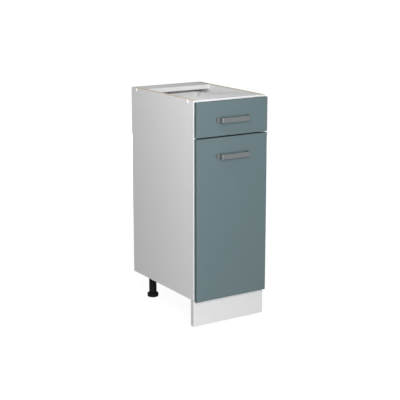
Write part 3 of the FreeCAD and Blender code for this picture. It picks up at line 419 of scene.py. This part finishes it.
# Shares of the head's radius
RECESS_REACH = 0.58
RECESS_WIDTH = 0.12
RECESS_DEPTH = 0.28
RECESS_OVERRUN = 0.05
RECESS_TAPER = 0.55


def leftward(centre):
    return Vector((-1.0, 0.0, 0.0))


def backward(centre):
    return Vector((0.0, 1.0, 0.0))


def downward(centre):
    return Vector((0.0, 0.0, -1.0))


def toward_middle(centre):
    return Vector((-math.copysign(1.0, centre.x), 0.0, 0.0))


def from_middle(centre):
    return Vector((math.copysign(1.0, centre.x), 0.0, 0.0))


# Which way the heads of each node face
HEADS_FACE = {
    "hinge_screws": leftward,
    "hinge_cup_screws": backward,
    "drawer_handle_screws": backward,
    "door_handle_screws": backward,
    "plinth_clip_screws": backward,
    "leg_socket_screws": downward,
    "cam_locks": downward,
    "drawer_front_cams": toward_middle,
    "cabinet_runner_screws": toward_middle,
    "drawer_runner_screws": from_middle,
    "drawer_back_screws": from_middle,
}


def new_piece(name, mesh):
    piece = bpy.data.objects.new(name, mesh)
    bpy.context.scene.collection.objects.link(piece)
    return piece


def mesh_of(name, shape):
    mesh = bpy.data.meshes.new(name)
    shape.to_mesh(mesh)
    shape.free()
    return mesh


def solids(shape):
    """The places of the vertices of each separate solid in a welded mesh."""
    shape.verts.index_update()
    seen = set()
    for start in shape.verts:
        if start.index in seen:
            continue
        seen.add(start.index)
        found = [start]
        for corner in found:
            for edge in corner.link_edges:
                other = edge.other_vert(corner)
                if other.index not in seen:
                    seen.add(other.index)
                    found.append(other)
        yield [corner.co.copy() for corner in found]


def cross_outline(reach, width):
    """The twelve corners of a plus sign."""
    corners = []
    across, along = Vector((1.0, 0.0)), Vector((0.0, 1.0))
    for turn in range(4):
        for first, second in ((reach, -width), (reach, width), (width, width)):
            corners.append(first * across + second * along)
        across, along = along, -across
    return corners


def add_cross(shape, spot, outward, radius):
    """A tapered cross that points into the head from just outside it."""
    across = outward.orthogonal().normalized()
    along = outward.cross(across)
    rings = []
    for level, share in ((RECESS_OVERRUN, 1.0), (-RECESS_DEPTH, RECESS_TAPER)):
        outline = cross_outline(RECESS_REACH * share, RECESS_WIDTH)
        offsets = [point.x * across + point.y * along + level * outward for point in outline]
        rings.append([shape.verts.new(spot + radius * offset) for offset in offsets])
    top, low = rings
    shape.faces.new(top)
    shape.faces.new(low[::-1])
    for number, corner in enumerate(top):
        after = (number + 1) % len(top)
        shape.faces.new((corner, low[number], low[after], top[after]))


def add_head_cross(crosses, places, facing):
    """Put a cross on the middle of the head of the solid that has these vertices."""
    low = Vector(min(place[axis] for place in places) for axis in range(3))
    high = Vector(max(place[axis] for place in places) for axis in range(3))
    middle = (low + high) / 2
    half = (high - low) / 2
    outward = facing(middle)
    level = max(place.dot(outward) for place in places)
    spot = middle + outward * (level - middle.dot(outward))
    radius = max(size for size, part in zip(half, outward) if not part)
    add_cross(crosses, spot, outward, radius)


def cut_away(piece, cutter):
    """The mesh of the piece without what the cutter takes up."""
    recess = piece.modifiers.new("recess", "BOOLEAN")
    recess.operation = "DIFFERENCE"
    recess.solver = "EXACT"
    recess.object = cutter
    bpy.context.view_layer.update()
    cut = bpy.data.meshes.new_from_object(piece.evaluated_get(bpy.context.evaluated_depsgraph_get()))
    piece.modifiers.clear()
    return cut


def recess_heads(node, facing):
    """Stand in for a node of screws or cams with one whose heads have a cross recess."""
    shape = bmesh.new()
    shape.from_mesh(nodes[node].data)
    bmesh.ops.remove_doubles(shape, verts=shape.verts, dist=WELD)
    crosses = bmesh.new()
    for places in solids(shape):
        add_head_cross(crosses, places, facing)
    piece = new_piece(node + "_recessed", mesh_of(node + "_welded", shape))
    cutter = new_piece(node + "_cutter", mesh_of(node + "_crosses", crosses))
    piece.data = cut_away(piece, cutter)
    bpy.data.objects.remove(cutter)
    piece.data.materials.clear()
    piece.data.materials.append(nodes[node].data.materials[0])
    piece.data.shade_smooth()
    piece.data.set_sharp_from_angle(angle=SMOOTH_ANGLE)
    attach(piece, BODY_OF[node])
    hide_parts(node)


for node, facing in HEADS_FACE.items():
    recess_heads(node, facing)


# Grip ribs round the feet

FEET = ("front_left_foot", "front_right_foot", "rear_left_foot", "rear_right_foot")
RIB_COUNT = 30

# A rib's ends above the sole, how far it is sunk and proud, half its width, and its top's share of that
RIB_LOW = 0.0025
RIB_HIGH = 0.0115
RIB_SUNK = 0.0006
RIB_PROUD = 0.0006
RIB_HALF = 0.0011
RIB_TAPER = 0.45


def add_rib(shape, centre, angle, radius):
    """One upright rib with sloped flanks and ends."""
    outward = Vector((math.cos(angle), math.sin(angle), 0.0))
    along = Vector((-outward.y, outward.x, 0.0))
    up = Vector((0.0, 0.0, 1.0))
    rings = []
    for reach, share, inset in ((-RIB_SUNK, 1.0, 0.0), (RIB_PROUD, RIB_TAPER, RIB_PROUD)):
        spot = centre + (radius + reach) * outward
        side = share * RIB_HALF * along
        low = (RIB_LOW + inset) * up
        high = (RIB_HIGH - inset) * up
        corners = (spot - side + low, spot + side + low, spot + side + high, spot - side + high)
        rings.append([shape.verts.new(corner) for corner in corners])
    seat, top = rings
    shape.faces.new(top)
    shape.faces.new(seat[::-1])
    for number, corner in enumerate(seat):
        after = (number + 1) % len(seat)
        shape.faces.new((corner, seat[after], top[after], top[number]))


def rib_foot(foot):
    low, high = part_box(foot)
    centre = Vector(((low.x + high.x) / 2, (low.y + high.y) / 2, low.z))
    shape = bmesh.new()
    for number in range(RIB_COUNT):
        add_rib(shape, centre, math.tau * number / RIB_COUNT, (high.x - low.x) / 2)
    piece = new_piece(foot + "_ribs", mesh_of(foot + "_ribs", shape))
    piece.data.materials.append(nodes[foot].data.materials[0])
    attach(piece, BODY_OF[foot])


for foot in FEET:
    rib_foot(foot)


# Floor, world, lamps and camera

FLOOR_DROP = 0.0205
FLOOR_HALF = 30.0
FLOOR_BOUNCE = 0.21
SKY_LEVEL = 0.14

# The floor's own glow near the object, and the distances between which it rises to white
FLOOR_GLOW = 0.92
FLOOR_NEAR = 0.8
FLOOR_FAR = 2.2

# Soft lamps: place, target, width and height, and power in watts
LAMPS = {
    "key_lamp": dict(spot=(-1.56, -3.12, 1.14), target=(0.0, 0.0, 0.45), size=(1.4, 2.55), power=129.0),
    "top_lamp": dict(spot=(-0.62, -0.40, 1.56), target=(-0.35, -0.30, 0.6), size=(1.0, 1.0), power=5.8),
    "fill_lamp": dict(spot=(2.4, 3.0, 0.42), target=(0.0, 0.0, 0.42), size=(2.4, 0.76), power=80.0,
                      mirrored=False),
}

# The photo's place of view and framing; lens and sensor in millimetres
CAMERA_SPOT = (-2.083, -3.28775, 1.334)
CAMERA_YAW = math.radians(32.37)
CAMERA_PITCH = math.radians(13.38)
CAMERA_LENS = 97.209
CAMERA_SENSOR = 36.0
CAMERA_REACH = 100.0


def joined(tree, operation, first, second):
    node = tree.nodes.new("ShaderNodeMath")
    node.operation = operation
    tree.links.new(first, node.inputs[0])
    tree.links.new(second, node.inputs[1])
    return node.outputs["Value"]


def seen_directly(tree):
    """One for rays from the camera, mirrors and glass, and zero for rays that only carry light."""
    path = tree.nodes.new("ShaderNodeLightPath").outputs
    total = path["Is Camera Ray"]
    for kind in ("Is Glossy Ray", "Is Transmission Ray"):
        total = joined(tree, "MAXIMUM", total, path[kind])
    return total


def floor_glow(tree):
    """A glow that is seen but lights nothing: white far off and a little darker near the object."""
    spot = tree.nodes.new("ShaderNodeTexCoord")
    away = tree.nodes.new("ShaderNodeVectorMath")
    away.operation = "LENGTH"
    tree.links.new(spot.outputs["Object"], away.inputs[0])
    fade = tree.nodes.new("ShaderNodeMapRange")
    fade.inputs["From Min"].default_value = FLOOR_NEAR
    fade.inputs["From Max"].default_value = FLOOR_FAR
    fade.inputs["To Min"].default_value = FLOOR_GLOW
    fade.inputs["To Max"].default_value = 1.0
    tree.links.new(away.outputs["Value"], fade.inputs["Value"])
    return joined(tree, "MULTIPLY", seen_directly(tree), fade.outputs["Result"])


def floor_material():
    material = bpy.data.materials.new("pale_floor")
    material.use_nodes = True
    tree = material.node_tree
    tree.nodes.clear()
    diffuse = tree.nodes.new("ShaderNodeBsdfDiffuse")
    diffuse.inputs["Color"].default_value = (FLOOR_BOUNCE, FLOOR_BOUNCE, FLOOR_BOUNCE, 1.0)
    glow = tree.nodes.new("ShaderNodeEmission")
    tree.links.new(floor_glow(tree), glow.inputs["Strength"])
    both = tree.nodes.new("ShaderNodeAddShader")
    tree.links.new(diffuse.outputs["BSDF"], both.inputs[0])
    tree.links.new(glow.outputs["Emission"], both.inputs[1])
    out = tree.nodes.new("ShaderNodeOutputMaterial")
    tree.links.new(both.outputs["Shader"], out.inputs["Surface"])
    return material


def make_floor():
    sides = ((-1, -1), (1, -1), (1, 1), (-1, 1))
    corners = [(x * FLOOR_HALF, y * FLOOR_HALF, -FLOOR_DROP) for x, y in sides]
    mesh = bpy.data.meshes.new("floor")
    mesh.from_pydata(corners, [], [(0, 1, 2, 3)])
    mesh.materials.append(floor_material())
    floor = new_piece("floor", mesh)


def make_world():
    """White where it is seen, and a dim sky for the light that it gives."""
    world = bpy.data.worlds.new("studio")
    world.use_nodes = True
    bpy.context.scene.world = world
    tree = world.node_tree
    level = tree.nodes.new("ShaderNodeMapRange")
    level.inputs["To Min"].default_value = SKY_LEVEL
    level.inputs["To Max"].default_value = 1.0
    tree.links.new(seen_directly(tree), level.inputs["Value"])
    background = tree.nodes["Background"]
    background.inputs["Color"].default_value = (1.0, 1.0, 1.0, 1.0)
    tree.links.new(level.outputs["Result"], background.inputs["Strength"])


def turned_along(direction):
    """The turn that points a lamp or camera along a direction."""
    return direction.to_track_quat("-Z", "Y").to_euler()


def make_lamp(name, spot, target, size, power, mirrored=True):
    lamp = bpy.data.lights.new(name, "AREA")
    lamp.shape = "RECTANGLE"
    lamp.size, lamp.size_y = size
    lamp.energy = power
    thing = bpy.data.objects.new(name, lamp)
    thing.location = spot
    thing.rotation_euler = turned_along(Vector(target) - Vector(spot))
    thing.visible_camera = False
    thing.visible_glossy = mirrored
    bpy.context.scene.collection.objects.link(thing)


def make_camera():
    camera = bpy.data.cameras.new("camera")
    camera.lens = CAMERA_LENS
    camera.sensor_width = CAMERA_SENSOR
    camera.clip_end = CAMERA_REACH
    level = math.cos(CAMERA_PITCH)
    ahead = Vector((math.sin(CAMERA_YAW) * level, math.cos(CAMERA_YAW) * level, -math.sin(CAMERA_PITCH)))
    thing = bpy.data.objects.new("camera", camera)
    thing.location = CAMERA_SPOT
    thing.rotation_euler = turned_along(ahead)
    bpy.context.scene.collection.objects.link(thing)
    bpy.context.scene.camera = thing


make_floor()
make_world()
for name, lamp in LAMPS.items():
    make_lamp(name, **lamp)
make_camera()

bpy.context.scene.view_settings.view_transform = "Standard"
